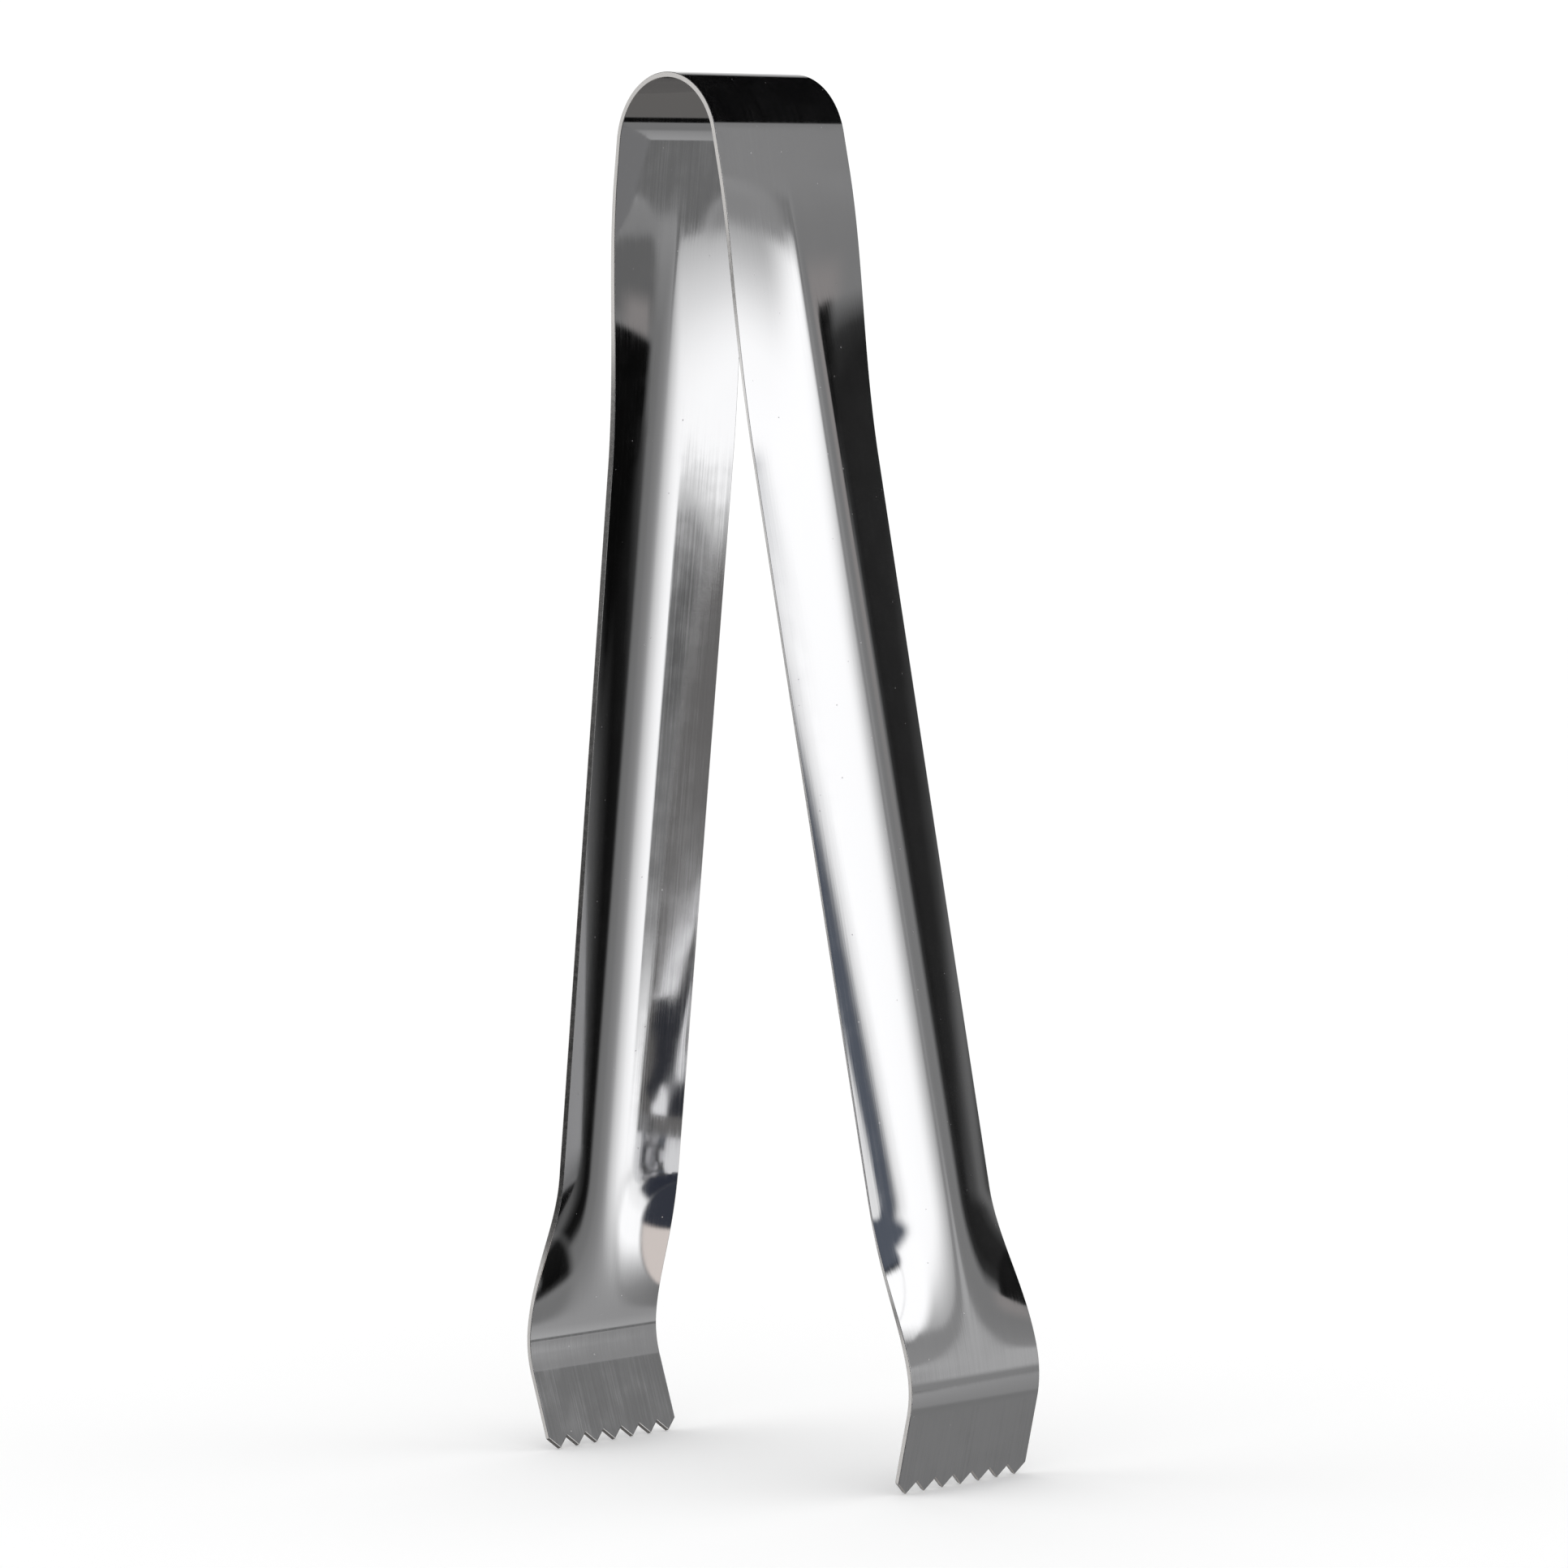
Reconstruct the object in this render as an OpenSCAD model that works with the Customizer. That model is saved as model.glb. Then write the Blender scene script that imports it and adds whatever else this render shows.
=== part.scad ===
// Ice tongs bent from one strip of stainless sheet: a sprung bow at the top, a flat shoulder
// on each side of it, two arms pressed into a shallow trough, and two toothed claws.
// +Z is up, X is the way the tongs open, Y runs across the strip. The teeth stand on Z = 0.

/* [Strip] */
// Width of the flat strip
strip_w = 22; // [16:0.5:30]
// Thickness of the sheet
strip_t = 0.7; // [0.5:0.05:1.2]

/* [Bow] */
// Outer radius of the bow
bow_r = 9.6; // [7:0.2:16]
// Angle from the top of the bow to each flexing line
flex_angle = 38; // [25:1:50]
// Flat length between the bow and the arm's trough
flat_len = 4.6; // [2:0.2:20]

/* [Arms] */
// Angle of each arm from upright
splay = 10; // [6:0.5:16]
// Length of each arm, from the flat shoulder to the claw
arm_len = 152; // [90:0.2:220]
// Outer radius of the trough's round bottom
bottom_r = 13.6; // [10:0.2:18]
// Slope of the trough where its round bottom ends, at the top of the arm
corner_upper = 14; // [9:0.5:18]
// Slope of the trough where its round bottom ends, above the claw
corner_lower = 18; // [12:0.5:22]
// Slope of the trough at its rims, at the top of the arm
rim_upper = 20; // [19:0.5:30]
// Slope of the trough at its rims, above the claw
rim_lower = 28.5; // [23:0.5:38]
// Length over which the trough fades in below the shoulder
upper_run = 38; // [20:1:45]
// Length over which the trough fades out above the claw
lower_run = 21; // [12:0.2:35]

/* [Claws] */
// Outer radius of the inward curl
curl_r = 13; // [8:0.5:24]
// Angle that the claw curls inward
curl_angle = 27; // [15:1:40]
// Straight length below the curl, with the teeth
tip_len = 10.2; // [6:0.2:18]
// Number of teeth on each claw
tooth_count = 7; // [4:1:11]
// Depth of the teeth
tooth_depth = 1.5; // [0.8:0.1:2.4]

/* [Clearances] */
// Gap across each flexing line
flex_gap = 0.2; // [0.15:0.05:0.4]

/* [Hidden] */
$fn = 96;
steel = [0.80, 0.81, 0.83];

// Heading of the arm, and of the tip below the curl, as turned from level
arm_heading = 90 - splay;
tip_heading = arm_heading + curl_angle;

// Upper end of the straight stretch, on the outer face, measured from the bow's centre
straight_x = bow_r * sin(arm_heading);
straight_len = flat_len + arm_len;
// Drop and reach of each stretch along the outer face
curl_drop = curl_r * (cos(arm_heading) - cos(tip_heading));
tip_drop = tip_len * sin(tip_heading);
bow_z = tip_drop + curl_drop + straight_len * sin(arm_heading) - bow_r * cos(arm_heading);
straight_z = bow_z + bow_r * cos(arm_heading);

// Where the arm starts, and where the claw starts, on the outer face
arm_x = straight_x + flat_len * cos(arm_heading);
arm_z = straight_z - flat_len * sin(arm_heading);
claw_x = straight_x + straight_len * cos(arm_heading);
claw_z = straight_z - straight_len * sin(arm_heading);

tooth_pitch = strip_w / tooth_count;
half_gap_angle = flex_gap / 2 / bow_r * 180 / PI;

// Stations along the arm, and points across its trough
across = 16;
run_steps = 12;
mid_steps = 8;
least_press = 0.001;

function smooth(u) = u <= 0 ? 0 : u >= 1 ? 1 : u * u * (3 - 2 * u);

// How far the trough has widened, and how far it has not yet flattened out, at distance s down the arm
function widened(s) = max(least_press, smooth(s / upper_run));
function kept(s) = max(least_press, smooth((arm_len - s) / lower_run));

// Value that runs from one end of the fully pressed stretch to the other
function along(s, upper, lower) = upper + (lower - upper)
    * max(0, min(1, (s - upper_run) / (arm_len - upper_run - lower_run)));

// Slopes of the trough where its round bottom ends, and at its rims
function corner(s) = along(s, corner_upper, corner_lower) * widened(s) * kept(s);
function rim(s) = along(s, rim_upper, rim_lower) * widened(s) * kept(s);

// Outer radii of the round bottom and of the flanks, and half the bottom's width along the sheet
function round_r(s) = bottom_r / kept(s);
function bottom_half(s) = round_r(s) * corner(s) * PI / 180;
function flank_r(s) = (strip_w / 2 - bottom_half(s)) / ((rim(s) - corner(s)) * PI / 180);

// Slope of the trough at distance s, at v from its middle line along the sheet
function slope(s, v) = v < bottom_half(s)
    ? v / round_r(s) * 180 / PI
    : corner(s) + (v - bottom_half(s)) / flank_r(s) * 180 / PI;

// Point of the trough at distance s, at v from its middle line, at depth d from the outer face
function trough_point(s, v, d) =
    let (
        turn = slope(s, abs(v)),
        inner = min(turn, corner(s)),
        outer = max(turn, corner(s)),
        reach = round_r(s) * sin(inner) + flank_r(s) * (sin(outer) - sin(corner(s))),
        drop = round_r(s) * (1 - cos(inner)) + flank_r(s) * (cos(corner(s)) - cos(outer))
    )
    [-drop - d * cos(turn), sign(v) * (reach - d * sin(turn)), -s];

// One closed ring round the sheet at distance s: the outer face, then the inner face back
function ring(s) = concat(
    [for (i = [0:across]) trough_point(s, (i / across - 1 / 2) * strip_w, 0)],
    [for (i = [across:-1:0]) trough_point(s, (i / across - 1 / 2) * strip_w, strip_t)]
);

// A stretch of the strip bent to an arc, from level with its centre up through an angle
module arc_band(radius, angle) {
    rotate([90, 0, 0])
        rotate_extrude(angle = angle)
            translate([radius - strip_t, -strip_w / 2])
                square([strip_t, strip_w]);
}

// A flat stretch of the strip whose upper end runs on into an arc
module bent_band(radius, angle, length) {
    union() {
        translate([-strip_t, -strip_w / 2, -length])
            cube([strip_t, strip_w, length]);
        translate([-radius, 0, 0])
            arc_band(radius, angle);
    }
}

// The middle of the bow, between the two flexing lines
module spring_bow() {
    half_angle = flex_angle - half_gap_angle;
    color(steel)
        translate([0, 0, bow_z])
            rotate([0, half_angle - 90, 0])
                arc_band(bow_r, 2 * half_angle);
}

// The lower side of the bow and the flat stretch that it runs into
module shoulder() {
    translate([straight_x, 0, straight_z])
        rotate([0, -splay, 0])
            bent_band(bow_r, arm_heading - flex_angle - half_gap_angle, flat_len);
}

// The trough, swept along the arm's own straight outer line
module arm() {
    stations = concat(
        [for (i = [0:run_steps]) upper_run * i / run_steps],
        [for (i = [1:mid_steps - 1])
            upper_run + (arm_len - upper_run - lower_run) * i / mid_steps],
        [for (i = [run_steps:-1:0]) arm_len - lower_run * i / run_steps]
    );
    count = 2 * across + 2;
    last = len(stations) - 1;
    points = [for (s = stations) each ring(s)];
    sides = [for (k = [0:last - 1]) for (i = [0:count - 1]) each [
        [k * count + i, k * count + (i + 1) % count, (k + 1) * count + i],
        [k * count + (i + 1) % count, (k + 1) * count + (i + 1) % count, (k + 1) * count + i]
    ]];
    top = [for (i = [0:across - 1]) each [
        [i, count - 1 - i, count - 2 - i],
        [i, count - 2 - i, i + 1]
    ]];
    bottom = [for (f = top) [last * count + f[0], last * count + f[2], last * count + f[1]]];
    translate([arm_x, 0, arm_z])
        rotate([0, -splay, 0])
            polyhedron(points = points, faces = concat(top, sides, bottom), convexity = 4);
}

// A V-shaped notch between two teeth, through the sheet at the end of the tip
module notch() {
    translate([-strip_t - 1, 0, 0])
        rotate([90, 0, 90])
            linear_extrude(strip_t + 2)
                polygon([
                    [-tooth_pitch / 2 * (1 + 1 / tooth_depth), -1],
                    [0, tooth_depth],
                    [tooth_pitch / 2 * (1 + 1 / tooth_depth), -1]
                ]);
}

// The inward curl and the toothed tip
module claw() {
    tip_x = claw_x + curl_r * (sin(tip_heading) - cos(splay));
    tip_z = tip_drop;
    translate([tip_x, 0, tip_z])
        rotate([0, curl_angle - splay, 0])
            difference() {
                bent_band(curl_r, curl_angle, tip_len);
                for (i = [0:tooth_count])
                    translate([0, -strip_w / 2 + i * tooth_pitch, -tip_len])
                        notch();
            }
}

module left_shoulder() {
    color(steel)
        mirror([1, 0, 0])
            shoulder();
}

module left_arm() {
    color(steel)
        mirror([1, 0, 0])
            arm();
}

module left_claw() {
    color(steel)
        mirror([1, 0, 0])
            claw();
}

module right_shoulder() {
    color(steel)
        shoulder();
}

module right_arm() {
    color(steel)
        arm();
}

module right_claw() {
    color(steel)
        claw();
}

spring_bow();
left_shoulder();
left_arm();
left_claw();
right_shoulder();
right_arm();
right_claw();
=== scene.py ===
import math

import bpy
from mathutils import Matrix, Vector


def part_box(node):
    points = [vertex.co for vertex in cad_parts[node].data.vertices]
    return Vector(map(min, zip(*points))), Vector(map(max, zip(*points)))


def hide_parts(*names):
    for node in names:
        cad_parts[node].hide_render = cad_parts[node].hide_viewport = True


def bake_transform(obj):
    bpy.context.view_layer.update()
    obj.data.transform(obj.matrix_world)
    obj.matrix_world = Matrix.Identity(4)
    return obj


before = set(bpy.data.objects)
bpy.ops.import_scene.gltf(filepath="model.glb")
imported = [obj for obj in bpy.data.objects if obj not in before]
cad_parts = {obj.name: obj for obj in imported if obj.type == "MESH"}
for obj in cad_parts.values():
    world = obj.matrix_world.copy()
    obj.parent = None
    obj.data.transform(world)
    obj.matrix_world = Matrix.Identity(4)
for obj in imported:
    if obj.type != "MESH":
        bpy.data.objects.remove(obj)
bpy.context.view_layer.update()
bpy.ops.object.select_all(action="DESELECT")

# ---------------------------------------------------------------------------
# Camera: level with the arms and turned to their front corner, so that the
# left arm shows its hollow side and the right arm its round side.
# ---------------------------------------------------------------------------
camera_turn = math.radians(47.74)
camera_rise = math.radians(2.52)
camera_roll = math.radians(-2.18)
camera_distance = 0.8082
aim = Vector((0.0055, 0, 0.0873))

camera_data = bpy.data.cameras.new("camera")
camera_data.lens = 145.66
camera_data.sensor_width = 36
camera_data.clip_start = 0.01
camera = bpy.data.objects.new("camera", camera_data)
bpy.context.scene.collection.objects.link(camera)
backward = Vector((math.sin(camera_turn) * math.cos(camera_rise),
                   -math.cos(camera_turn) * math.cos(camera_rise), math.sin(camera_rise)))
level_right = (-backward).cross(Vector((0, 0, 1))).normalized()
level_up = level_right.cross(-backward)
right = level_right * math.cos(camera_roll) + level_up * math.sin(camera_roll)
up = level_up * math.cos(camera_roll) - level_right * math.sin(camera_roll)
stand = Matrix((right, up, backward)).transposed().to_4x4()
stand.translation = aim + backward * camera_distance
camera.matrix_world = stand
bpy.context.scene.camera = camera

# ---------------------------------------------------------------------------
# Light and floor: an evenly lit white room with a white paper floor, and for
# the steel the white boards, black cloths and grey walls that stand round it.
# ---------------------------------------------------------------------------
bpy.context.scene.view_settings.view_transform = "Standard"
world = bpy.data.worlds.new("studio")
bpy.context.scene.world = world
world.use_nodes = True
room_nodes = world.node_tree.nodes
room_links = world.node_tree.links
background = room_nodes["Background"]

# What the steel sees depends on the turn and the rise of the direction it looks
direction = room_nodes.new("ShaderNodeTexCoord")
parts = room_nodes.new("ShaderNodeSeparateXYZ")
room_links.new(direction.outputs["Generated"], parts.inputs["Vector"])
turn = room_nodes.new("ShaderNodeMath")
turn.operation = "ARCTAN2"
room_links.new(parts.outputs["Y"], turn.inputs[0])
room_links.new(parts.outputs["X"], turn.inputs[1])
rise = room_nodes.new("ShaderNodeMath")
rise.operation = "ARCSINE"
room_links.new(parts.outputs["Z"], rise.inputs[0])


# The sockets of a Mix node that hold its two colours and the mixed one
below, above, mixed = 6, 7, 2
# The colour where nothing hangs, and the two ends of every painted wall
dim_grey = (0.24, 0.24, 0.24)
wall_from, wall_to = -90, 130


def soft_edge(angle, from_degrees, to_degrees):
    """0 at one angle and 1 at the other, with a smooth ramp between them."""
    ramp = room_nodes.new("ShaderNodeMapRange")
    ramp.interpolation_type = "SMOOTHSTEP"
    ramp.inputs["From Min"].default_value = math.radians(from_degrees)
    ramp.inputs["From Max"].default_value = math.radians(to_degrees)
    room_links.new(angle, ramp.inputs["Value"])
    return ramp.outputs["Result"]


def times(first, second):
    """The product of two node outputs."""
    product = room_nodes.new("ShaderNodeMath")
    product.operation = "MULTIPLY"
    room_links.new(first, product.inputs[0])
    room_links.new(second, product.inputs[1])
    return product.outputs["Value"]


def band(angle, edges):
    """1 between the two middle edges and 0 outside the outer two, in degrees."""
    return times(soft_edge(angle, edges[0], edges[1]), soft_edge(angle, edges[3], edges[2]))


def board(seen, colour, sides, heights):
    """Hang one board in front of what is seen so far. sides are the four turns
    at which it starts, is full, is still full and ends; heights the same."""
    across = band(turn.outputs["Value"], sides)
    upward = band(rise.outputs["Value"], heights)
    mix = room_nodes.new("ShaderNodeMix")
    mix.data_type = "RGBA"
    room_links.new(times(across, upward), mix.inputs["Factor"])
    if seen is None:
        mix.inputs[below].default_value = (*dim_grey, 1)
    else:
        room_links.new(seen, mix.inputs[below])
    mix.inputs[above].default_value = (*colour, 1)
    return mix.outputs[mixed]


def wall(seen, heights, tones):
    """Paint a ring of wall between four heights. tones are pairs of the turn
    in degrees and how bright the wall is there."""
    spot = room_nodes.new("ShaderNodeMapRange")
    spot.inputs["From Min"].default_value = math.radians(wall_from)
    spot.inputs["From Max"].default_value = math.radians(wall_to)
    room_links.new(turn.outputs["Value"], spot.inputs["Value"])
    ring = room_nodes.new("ShaderNodeValToRGB")
    room_links.new(spot.outputs["Result"], ring.inputs["Fac"])
    stops = ring.color_ramp.elements
    for angle, bright in tones:
        stop = stops.new((angle - wall_from) / (wall_to - wall_from))
        stop.color = (bright, bright, bright, 1)
    # The first and the last stop are those that every new ramp starts with
    stops.remove(stops[0])
    stops.remove(stops[-1])
    upward = band(rise.outputs["Value"], heights)
    mix = room_nodes.new("ShaderNodeMix")
    mix.data_type = "RGBA"
    room_links.new(upward, mix.inputs["Factor"])
    room_links.new(seen, mix.inputs[below])
    room_links.new(ring.outputs["Color"], mix.inputs[above])
    return mix.outputs[mixed]


all_round = (-200, -190, 190, 200)
window_blue = (0.095, 0.108, 0.135)

# The dim foot of the room, all round
seen = board(None, (0.14, 0.135, 0.13), all_round, (-100, -95, -40, -34))
# Upper wall: white beside the camera, falling off to grey, then black cloth
seen = wall(seen, (-1, 4, 60, 70), (
    (-89, 0.11), (-40, 0.12), (-14, 0.16), (-7, 0.13), (-5, 0.25), (-2, 0.9), (2, 1.25),
    (18, 1.2), (22, 1.12), (26, 0.98), (30, 0.8), (34, 0.63), (38, 0.47), (42, 0.34),
    (46, 0.23), (50, 0.215), (58, 0.22), (61, 0.12), (64, 0.03), (70, 0.015), (84, 0.02),
    (90, 0.05), (96, 0.13), (104, 0.2), (129, 0.24)))
# Lower wall, with a paler stretch beyond the black cloth
seen = wall(seen, (-26, -23, -1, 4), (
    (-89, 0.1), (-20, 0.06), (0, 0.06), (3, 1.2), (14, 1.2), (18, 1.17), (22, 1.1), (26, 1.0),
    (30, 0.86), (34, 0.74), (38, 0.58), (42, 0.38), (46, 0.29), (50, 0.25), (54, 0.23),
    (58, 0.20), (66, 0.185), (69, 0.15), (72, 0.05), (75, 0.01), (80, 0.006), (84, 0.03),
    (90, 0.11), (94, 0.11), (98, 0.05), (104, 0.1), (118, 0.24), (129, 0.24)))
# A dark gap across it, where the white begins
seen = board(seen, (0.19, 0.19, 0.19), (-30, -20, 13.5, 15.5), (-22.5, -20.8, -17.3, -16.8))
seen = board(seen, (0.12, 0.12, 0.12), (-30, -20, 10.5, 14), (-19.4, -18.9, -18.1, -17.5))
# Lowest wall, down to the table
seen = wall(seen, (-34, -32.5, -26, -23), (
    (-89, 0.03), (-2, 0.035), (1, 0.2), (4, 1.0), (10, 1.1), (14, 1.22), (26, 1.22),
    (30, 1.05), (34, 0.75), (38, 0.5), (42, 0.3), (46, 0.2), (50, 0.20), (54, 0.22),
    (57, 0.03), (60, 0.005), (84, 0.01), (92, 0.1), (100, 0.2), (129, 0.24)))
# A warm table top under the white wall
seen = board(seen, (0.74, 0.67, 0.63), (13, 18, 44, 50), (-75, -65, -35, -33))
# Pale boards at the back and on the left, a grey one under them with white and
# dark strips at its foot, and a black cloth between the boards and the camera
seen = board(seen, (0.95, 0.95, 0.95), (118, 150, 176, 181), (-14, -6, 16, 24))
seen = board(seen, (0.95, 0.95, 0.95), (-181, -176, -165, -150), (-14, -6, 25, 32))
seen = board(seen, (0.19, 0.185, 0.18), (-181, -176, -100, -92), (-41, -40, -20, -12))
seen = board(seen, (0.75, 0.74, 0.73), (-150, -140, -118, -106), (-16, -10, 25, 32))
seen = board(seen, (1.1, 1.1, 1.1), (-153, -149, -126, -123), (-39.8, -39.2, -38.1, -37.5))
seen = board(seen, (0.04, 0.042, 0.05), (-181, -179, -128, -122), (-58, -52, -40.6, -39.9))
seen = board(seen, (1.1, 1.1, 1.1), (-181, -178, -172.5, -170), (-46, -44, -40.2, -39.4))
seen = board(seen, (0.02, 0.02, 0.02), (-98, -92, -72, -66), (-40, -30, 60, 70))
# White board high beside the camera
seen = board(seen, (1.25, 1.25, 1.25), (6, 9, 36, 43), (13.5, 18, 60, 70))
# Blue-grey window wall behind the camera, wider in steps towards the top, with
# one white pane, and the dark space under it
seen = board(seen, window_blue, (-70, -60, -6.5, -2), (2, 6, 60, 70))
seen = board(seen, window_blue, (-70, -60, 1, 7), (15, 19, 60, 70))
seen = board(seen, window_blue, (-70, -60, 6, 13), (24, 27, 60, 70))
seen = board(seen, (0.9, 0.9, 0.9), (-30, -22, -11.5, -9.5), (2, 5, 17, 21))
seen = board(seen, (0.030, 0.034, 0.048), (-70, -60, -1, 2), (-30, -28, -23, -21))
seen = board(seen, (0.030, 0.034, 0.048), (-70, -60, 3, 7), (-34, -32, -28.5, -27.5))
seen = board(seen, (0.040, 0.044, 0.058), (-70, -60, 14, 18), (-52, -46, -34, -32))
# The grey panel on the right, and the black cloth with a pale hem beside it
seen = board(seen, (0.14, 0.14, 0.14), (44.6, 45.4, 56, 60), (-10.5, -9.7, -3, -1))
seen = board(seen, (0.27, 0.255, 0.25), (52, 56.5, 59.5, 61), (-9.8, -8.8, -7, -3))
seen = board(seen, (0.003, 0.003, 0.003), (59.5, 61, 83, 90), (-10.4, -9.6, -1, 3))
seen = board(seen, (0.28, 0.265, 0.26), (50, 55.5, 57.5, 59.5), (9, 13, 17, 20))
seen = board(seen, (0.006, 0.006, 0.006), (57.5, 59, 80, 90), (11.5, 13, 60, 70))
seen = board(seen, (0.004, 0.004, 0.004), (48, 51, 58, 66), (-39, -37.5, -33.4, -32.6))
# Grey posts at the edge of the white wall, with a dark rail at their foot
seen = board(seen, (0.27, 0.27, 0.27), (38, 40.5, 42.6, 43.4), (-10.6, -9.8, 16, 17.5))
seen = board(seen, (0.18, 0.18, 0.18), (40.2, 41.5, 43.6, 44.2), (16, 17.2, 19.0, 20.0))
seen = board(seen, (0.25, 0.25, 0.25), (42.6, 43.2, 44.5, 46), (-12.5, -9.5, -7, -2))
seen = board(seen, (0.44, 0.44, 0.44), (42.2, 43.0, 45, 47), (-7, -2, 7.2, 9))
seen = board(seen, (0.155, 0.155, 0.155), (39, 40, 43.3, 44.1), (-13.4, -12.6, -10.8, -10.2))
# The black ceiling, and what still shows above its edge: the top of the white
# board and of the window wall
seen = board(seen, (0.0022, 0.0022, 0.0024), all_round, (25.2, 26.6, 95, 100))
seen = board(seen, (1.25, 1.25, 1.25), (9, 14, 36, 42), (24, 27, 37, 42))
seen = board(seen, window_blue, (-30, -20, 6, 13), (24, 26, 36, 40))

# The boards are for the steel alone: the floor is lit by a plain white room
room_links.new(seen, background.inputs["Color"])
plain = room_nodes.new("ShaderNodeBackground")
plain.inputs["Color"].default_value = (1.06, 1.06, 1.06, 1)
ray = room_nodes.new("ShaderNodeLightPath")
pick = room_nodes.new("ShaderNodeMixShader")
room_links.new(ray.outputs["Is Glossy Ray"], pick.inputs["Fac"])
room_links.new(plain.outputs["Background"], pick.inputs[1])
room_links.new(background.outputs["Background"], pick.inputs[2])
room_links.new(pick.outputs["Shader"], room_nodes["World Output"].inputs["Surface"])

bpy.ops.mesh.primitive_circle_add(vertices=96, radius=6, fill_type="NGON", location=(0, 0, 0))
floor = bpy.context.object
floor.name = "floor"
floor.visible_glossy = False
paper = bpy.data.materials.new("white_paper")
paper.use_nodes = True
shader = paper.node_tree.nodes["Principled BSDF"]
shader.inputs["Base Color"].default_value = (0.96, 0.96, 0.96, 1)
shader.inputs["Roughness"].default_value = 1.0
shader.inputs["Specular IOR Level"].default_value = 0.0
floor.data.materials.append(paper)
bpy.ops.object.select_all(action="DESELECT")

# ---------------------------------------------------------------------------
# The strip. One length of stainless sheet: the arm is pressed to a trough on a
# die, the claw is curled and its teeth are cut, and the bow is bent last.
# ---------------------------------------------------------------------------
bow_low, bow_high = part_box("spring_bow")
top = bow_high.z
strip_w = bow_high.y - bow_low.y
sheet = 0.0007
bow_r = 0.0096
bow_z = top - bow_r
splay = math.radians(10)
shoulder_len = 0.0046
arm_len = 0.152
# The trough deepens below the shoulder and flattens out again above the claw
upper_run = 0.038
lower_run = 0.021
# Its round bottom, and how far the sheet has turned at the bottom's corner and
# at the rim, at the top of the arm and low down
die_r = 0.0136
corner_top, corner_low = math.radians(14), math.radians(18)
rim_top, rim_low = math.radians(20), math.radians(28.5)
curl_r = 0.013
curl = math.radians(27)
tip_len = 0.0102
teeth = 7
tooth_depth = 0.0015
burr_r = 0.00007

# Polished steel: the two broad faces of the strip, buffed to a mirror. Fine
# buffing lines run along the strip, and small specks and pits catch light
steel = bpy.data.materials.new("polished_steel")
steel.use_nodes = True
nodes = steel.node_tree.nodes
links = steel.node_tree.links
shader = nodes["Principled BSDF"]
shader.inputs["Base Color"].default_value = (0.80, 0.80, 0.81, 1)
shader.inputs["Metallic"].default_value = 1.0

place = nodes.new("ShaderNodeTexCoord")

# Buffing lines: a noise drawn out along the strip and fine across it
drawn_out = nodes.new("ShaderNodeMapping")
drawn_out.inputs["Scale"].default_value = (40, 5200, 40)
links.new(place.outputs["Object"], drawn_out.inputs["Vector"])
lines = nodes.new("ShaderNodeTexNoise")
lines.inputs["Scale"].default_value = 1.0
lines.inputs["Detail"].default_value = 4.0
links.new(drawn_out.outputs["Vector"], lines.inputs["Vector"])

# Cloudy differences in polish, a few millimetres across
clouds = nodes.new("ShaderNodeTexNoise")
clouds.inputs["Scale"].default_value = 260
clouds.inputs["Detail"].default_value = 3.0
links.new(place.outputs["Object"], clouds.inputs["Vector"])

# Specks: the small cores of scattered cells
cells = nodes.new("ShaderNodeTexVoronoi")
cells.inputs["Scale"].default_value = 420
links.new(place.outputs["Object"], cells.inputs["Vector"])
speck_roughness = 0.4
specks = nodes.new("ShaderNodeMapRange")
specks.inputs["From Min"].default_value = 0.03
specks.inputs["From Max"].default_value = 0.05
specks.inputs["To Min"].default_value = 1.0
specks.inputs["To Max"].default_value = 0.0
links.new(cells.outputs["Distance"], specks.inputs["Value"])

# How dull the mirror is: lines, clouds and specks added up
line_haze = nodes.new("ShaderNodeMapRange")
line_haze.inputs["From Min"].default_value = 0.35
line_haze.inputs["From Max"].default_value = 0.75
line_haze.inputs["To Min"].default_value = 0.035
line_haze.inputs["To Max"].default_value = 0.085
links.new(lines.outputs["Fac"], line_haze.inputs["Value"])
cloud_haze = nodes.new("ShaderNodeMapRange")
cloud_haze.inputs["From Min"].default_value = 0.4
cloud_haze.inputs["From Max"].default_value = 0.7
cloud_haze.inputs["To Min"].default_value = 0.0
cloud_haze.inputs["To Max"].default_value = 0.03
links.new(clouds.outputs["Fac"], cloud_haze.inputs["Value"])
haze = nodes.new("ShaderNodeMath")
haze.operation = "ADD"
links.new(line_haze.outputs["Result"], haze.inputs[0])
links.new(cloud_haze.outputs["Result"], haze.inputs[1])
speck_haze = nodes.new("ShaderNodeMath")
speck_haze.operation = "MULTIPLY_ADD"
speck_haze.inputs[1].default_value = speck_roughness
links.new(specks.outputs["Result"], speck_haze.inputs[0])
links.new(haze.outputs["Value"], speck_haze.inputs[2])
links.new(speck_haze.outputs["Value"], shader.inputs["Roughness"])

# The lines are cut a little into the surface too
relief = nodes.new("ShaderNodeBump")
relief.inputs["Strength"].default_value = 0.05
relief.inputs["Distance"].default_value = 0.00002
links.new(lines.outputs["Fac"], relief.inputs["Height"])
links.new(relief.outputs["Normal"], shader.inputs["Normal"])

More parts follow.
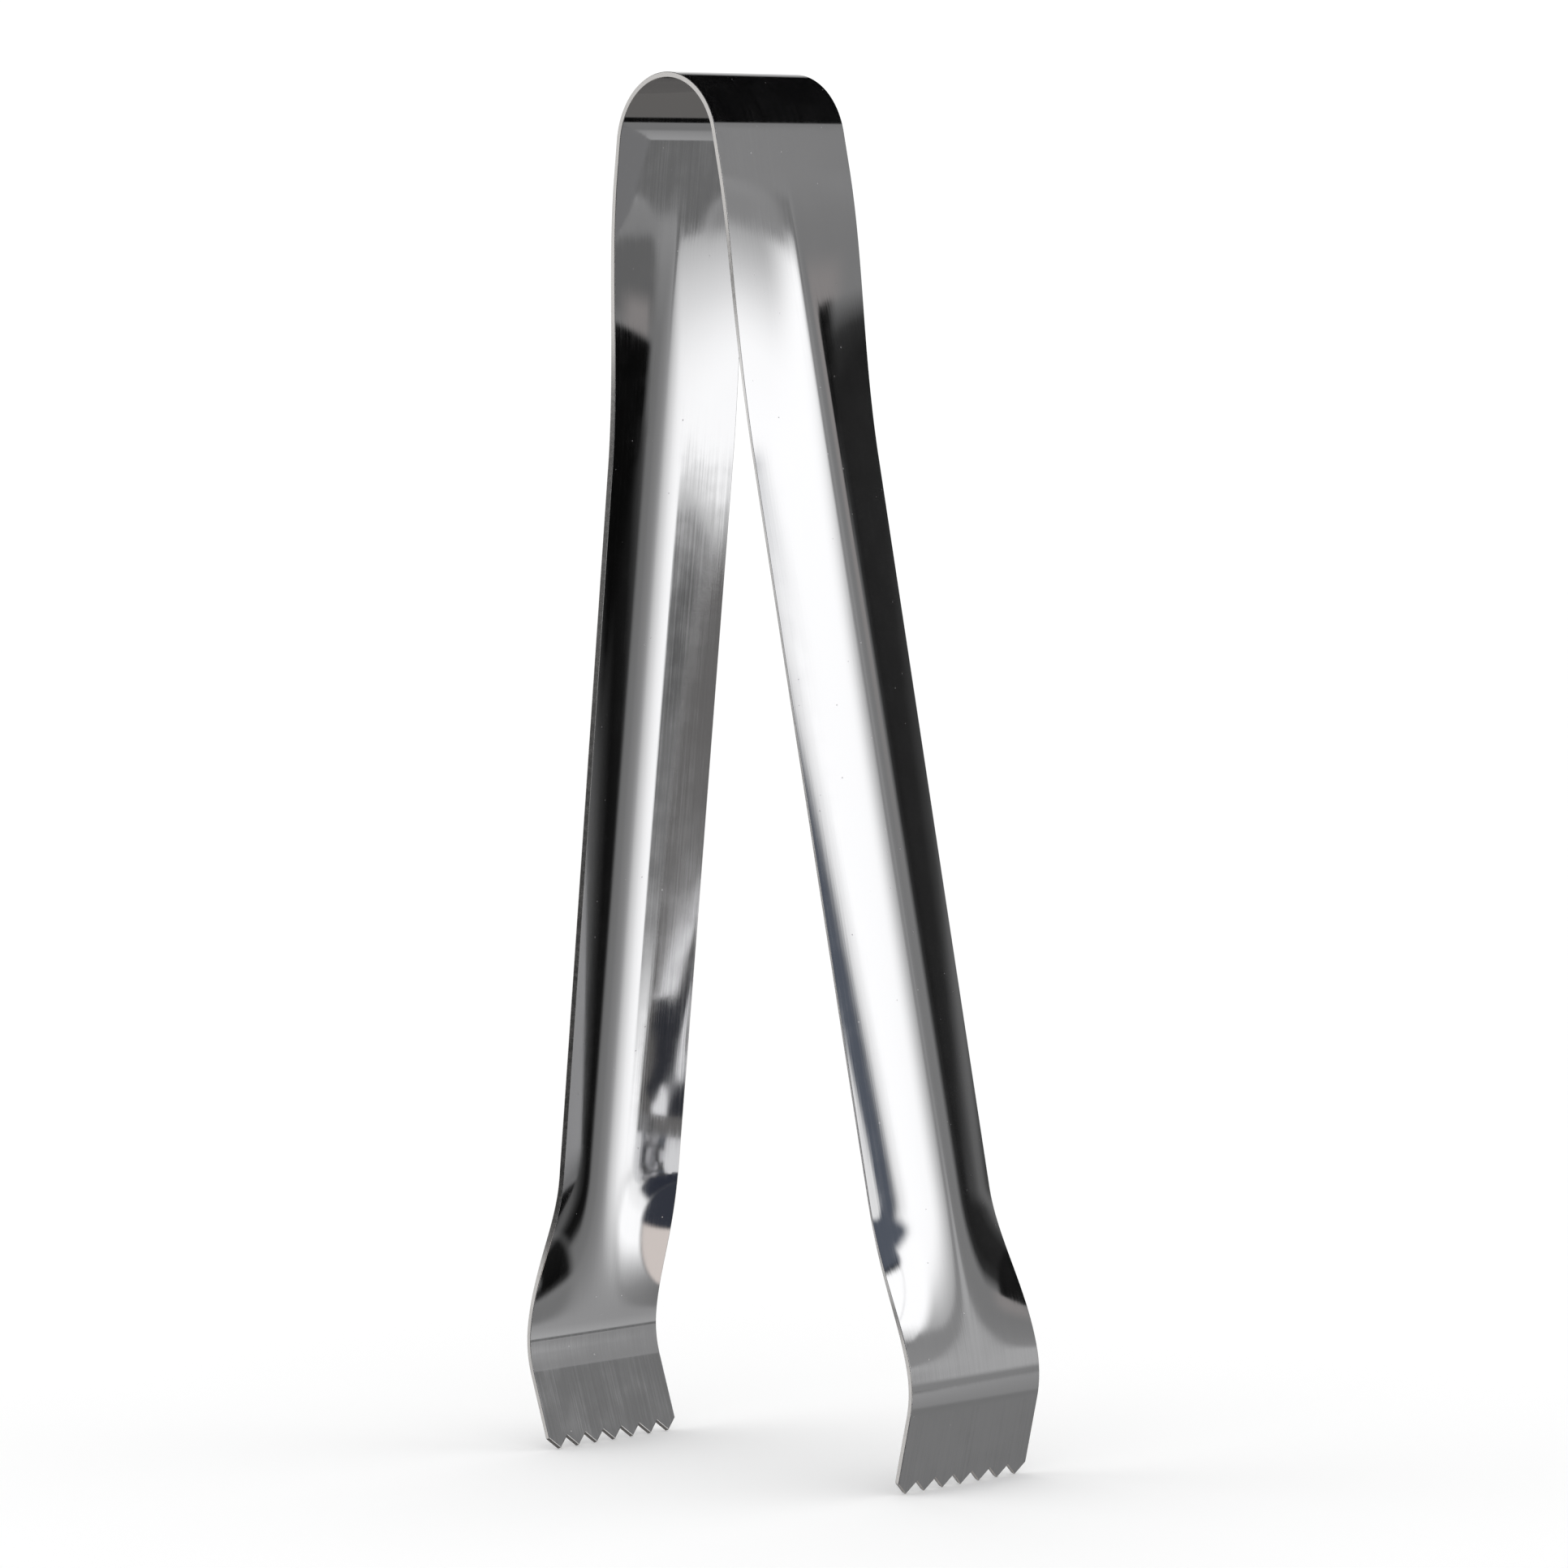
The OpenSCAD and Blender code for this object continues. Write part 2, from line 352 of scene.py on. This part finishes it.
# Sheared edge: the cut edge of the sheet and the flanks of the teeth, left as
# the blanking die made them: bright but duller, and finely torn
edge = bpy.data.materials.new("sheared_edge")
edge.use_nodes = True
nodes = edge.node_tree.nodes
links = edge.node_tree.links
shader = nodes["Principled BSDF"]
shader.inputs["Metallic"].default_value = 1.0
place = nodes.new("ShaderNodeTexCoord")
tears = nodes.new("ShaderNodeTexNoise")
tears.inputs["Scale"].default_value = 1800
tears.inputs["Detail"].default_value = 3.0
links.new(place.outputs["Object"], tears.inputs["Vector"])
tint = nodes.new("ShaderNodeMix")
tint.data_type = "RGBA"
tint.inputs[below].default_value = (0.74, 0.73, 0.72, 1)
tint.inputs[above].default_value = (0.88, 0.87, 0.86, 1)
links.new(tears.outputs["Fac"], tint.inputs["Factor"])
links.new(tint.outputs[mixed], shader.inputs["Base Color"])
dullness = nodes.new("ShaderNodeMapRange")
dullness.inputs["From Min"].default_value = 0.3
dullness.inputs["From Max"].default_value = 0.7
dullness.inputs["To Min"].default_value = 0.20
dullness.inputs["To Max"].default_value = 0.30
links.new(tears.outputs["Fac"], dullness.inputs["Value"])
links.new(dullness.outputs["Result"], shader.inputs["Roughness"])

# Down along the right arm, and straight out from it
heading = Vector((math.sin(splay), 0, -math.cos(splay)))
outward = Vector((math.cos(splay), 0, math.sin(splay)))
arm_top = Vector((0, 0, bow_z)) + outward * bow_r + heading * shoulder_len
arm_end = arm_top + heading * arm_len

# The blank of one arm, flat: its width along X, hanging down from the origin
half_columns = 4
rows = 190
bpy.ops.mesh.primitive_grid_add(
    x_subdivisions=teeth * 2 * half_columns, y_subdivisions=rows, size=1,
    location=(0, 0, -arm_len / 2), rotation=(math.radians(90), 0, 0))
strip = bpy.context.object
strip.name = "strip"
strip.scale = (strip_w, arm_len, 1)
bpy.ops.object.transform_apply(location=True, rotation=True, scale=True)


def eased(share):
    """A smooth step from 0 to 1."""
    share = min(1, max(0, share))
    return share * share * (3 - 2 * share)


# Pressed on the die: a round bottom, then a flatter flank on each side of it.
# The bottom widens from next to nothing below the shoulder, and all of it
# flattens out again above the claw
least_press = 0.001
for vertex in strip.data.vertices:
    down = -vertex.co.z
    share = min(1, max(0, (down - upper_run) / (arm_len - upper_run - lower_run)))
    widened = max(least_press, eased(down / upper_run))
    flattened = max(least_press, eased((arm_len - down) / lower_run))
    corner = (corner_top + (corner_low - corner_top) * share) * widened * flattened
    rim = (rim_top + (rim_low - rim_top) * share) * widened * flattened
    bottom_r = die_r / flattened
    bottom = bottom_r * corner
    flank_r = (strip_w / 2 - bottom) / (rim - corner)
    side = math.copysign(1, vertex.co.x)
    reach = abs(vertex.co.x)
    if reach < bottom:
        vertex.co.x = side * bottom_r * math.sin(reach / bottom_r)
        vertex.co.y = bottom_r * (1 - math.cos(reach / bottom_r))
    else:
        slope = corner + (reach - bottom) / flank_r
        flank_x = flank_r * (math.sin(slope) - math.sin(corner))
        flank_y = flank_r * (math.cos(corner) - math.cos(slope))
        vertex.co.x = side * (bottom_r * math.sin(corner) + flank_x)
        vertex.co.y = bottom_r * (1 - math.cos(corner)) + flank_y

# Turned to stand where the right arm is
strip.rotation_euler = (-splay, 0, math.radians(90))
strip.location = arm_top
bpy.ops.object.transform_apply(location=True, rotation=True, scale=True)


same_place = 0.000002


def select_row(mesh_object, point, normal):
    """Select, in edit mode, the points that lie on the plane through point."""
    bpy.ops.mesh.select_all(action="DESELECT")
    bpy.ops.object.mode_set(mode="OBJECT")
    for vertex in mesh_object.data.vertices:
        vertex.select = abs((vertex.co - point).dot(normal)) < same_place
    bpy.ops.object.mode_set(mode="EDIT")


bpy.ops.object.mode_set(mode="EDIT")
bpy.ops.mesh.select_mode(type="VERT")

# Shoulder and half of the bow, drawn up from the top row; the last steps are
# fine, so that the two halves meet at the crown without a crease
shoulder_rows = 8
select_row(strip, arm_top, heading)
for step in range(shoulder_rows):
    bpy.ops.mesh.extrude_region_move(
        TRANSFORM_OT_translate={"value": -heading * shoulder_len / shoulder_rows})
for steps, degrees in ((78, 78), (2, 1.2), (2, 0.5), (2, 0.3)):
    bpy.ops.mesh.spin(steps=steps, angle=math.radians(degrees),
                      center=(0, 0, bow_z), axis=(0, 1, 0))

# Claw: curled in from the lower end, then straight to the teeth
curl_rows = 27
tip_row = 0.0024
select_row(strip, arm_end, heading)
curl_centre = arm_end - outward * curl_r
bpy.ops.mesh.spin(steps=curl_rows, angle=-curl, center=curl_centre, axis=(0, 1, 0))
curl_turn = Matrix.Rotation(curl, 3, "Y")
tip_heading = curl_turn @ heading
for length in (tip_row, tip_row, tip_len - 2 * tip_row):
    bpy.ops.mesh.extrude_region_move(TRANSFORM_OT_translate={"value": tip_heading * length})

# Teeth: the last row is drawn back between the points, a quarter of the depth
# at a time, in columns that stand further and further from a point
claw_tip = curl_centre + curl_turn @ (outward * curl_r) + tip_heading * tip_len
half_tooth = strip_w / teeth / 2
tooth_zone = 0.002
column_slack = 0.05
for column in range(1, half_columns + 1):
    bpy.ops.mesh.select_all(action="DESELECT")
    bpy.ops.object.mode_set(mode="OBJECT")
    for vertex in strip.data.vertices:
        from_corner = (vertex.co.y + strip_w / 2) / half_tooth
        from_point = abs(1 - from_corner % 2)
        in_zone = (vertex.co - claw_tip).dot(tip_heading) > -tooth_zone
        vertex.select = in_zone and from_point > column / half_columns - column_slack
    bpy.ops.object.mode_set(mode="EDIT")
    bpy.ops.transform.translate(value=tip_heading * (-tooth_depth / half_columns))

# One skin with no doubles, facing outwards
bpy.ops.mesh.select_all(action="SELECT")
bpy.ops.mesh.remove_doubles(threshold=same_place)
bpy.ops.mesh.normals_make_consistent(inside=False)
bpy.ops.object.mode_set(mode="OBJECT")

# The halves: the left one is the right one mirrored. Each skin is turned to face
# out, gets the sheet's thickness inwards, and has its cut edges broken
near_seam = 0.00002
on_seam = 0.000001
for side, way in (("right", 1), ("left", -1)):
    bpy.ops.object.select_all(action="DESELECT")
    half = strip
    if side == "right":
        half = strip.copy()
        half.data = strip.data.copy()
        bpy.context.scene.collection.objects.link(half)
    half.name = "tongs_" + side + "_half"
    half.data.name = half.name
    bpy.context.view_layer.objects.active = half
    half.select_set(True)
    if way < 0:
        half.scale = (-1, 1, 1)
        bpy.ops.object.transform_apply(location=True, rotation=True, scale=True)
    crown = max(half.data.polygons, key=lambda face: face.center.z)
    if crown.normal.z < 0:
        half.data.flip_normals()
    half.data.materials.append(steel)
    half.data.materials.append(edge)
    gauge = half.modifiers.new("gauge", "SOLIDIFY")
    gauge.thickness = sheet
    gauge.offset = -1
    gauge.use_even_offset = True
    gauge.material_offset_rim = 1
    bpy.ops.object.modifier_apply(modifier=gauge.name)

    # The two halves meet on a flat cut at the crown
    for vertex in half.data.vertices:
        if abs(vertex.co.x) < near_seam:
            vertex.co.x = 0
    for face in half.data.polygons:
        if abs(face.center.x) < on_seam:
            face.material_index = 0

    # The edges between a broad face and a cut one are broken, but not the seam's
    bpy.ops.object.mode_set(mode="EDIT")
    bpy.ops.mesh.select_mode(type="EDGE")
    bpy.ops.mesh.select_all(action="DESELECT")
    bpy.ops.object.mode_set(mode="OBJECT")
    kinds = {}
    for face in half.data.polygons:
        for key in face.edge_keys:
            kinds.setdefault(key, set()).add(face.material_index)
    for arris in half.data.edges:
        ends = [half.data.vertices[index].co.x for index in arris.vertices]
        arris.select = len(kinds[arris.key]) == 2 and max(abs(x) for x in ends) > on_seam
    bpy.ops.object.mode_set(mode="EDIT")
    bpy.ops.mesh.bevel(offset=burr_r, segments=2, affect="EDGES", material=1)
    bpy.ops.object.mode_set(mode="OBJECT")
    bpy.ops.object.shade_smooth_by_angle(angle=math.radians(15))

    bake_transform(half)
    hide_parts("spring_bow", side + "_shoulder", side + "_arm", side + "_claw")
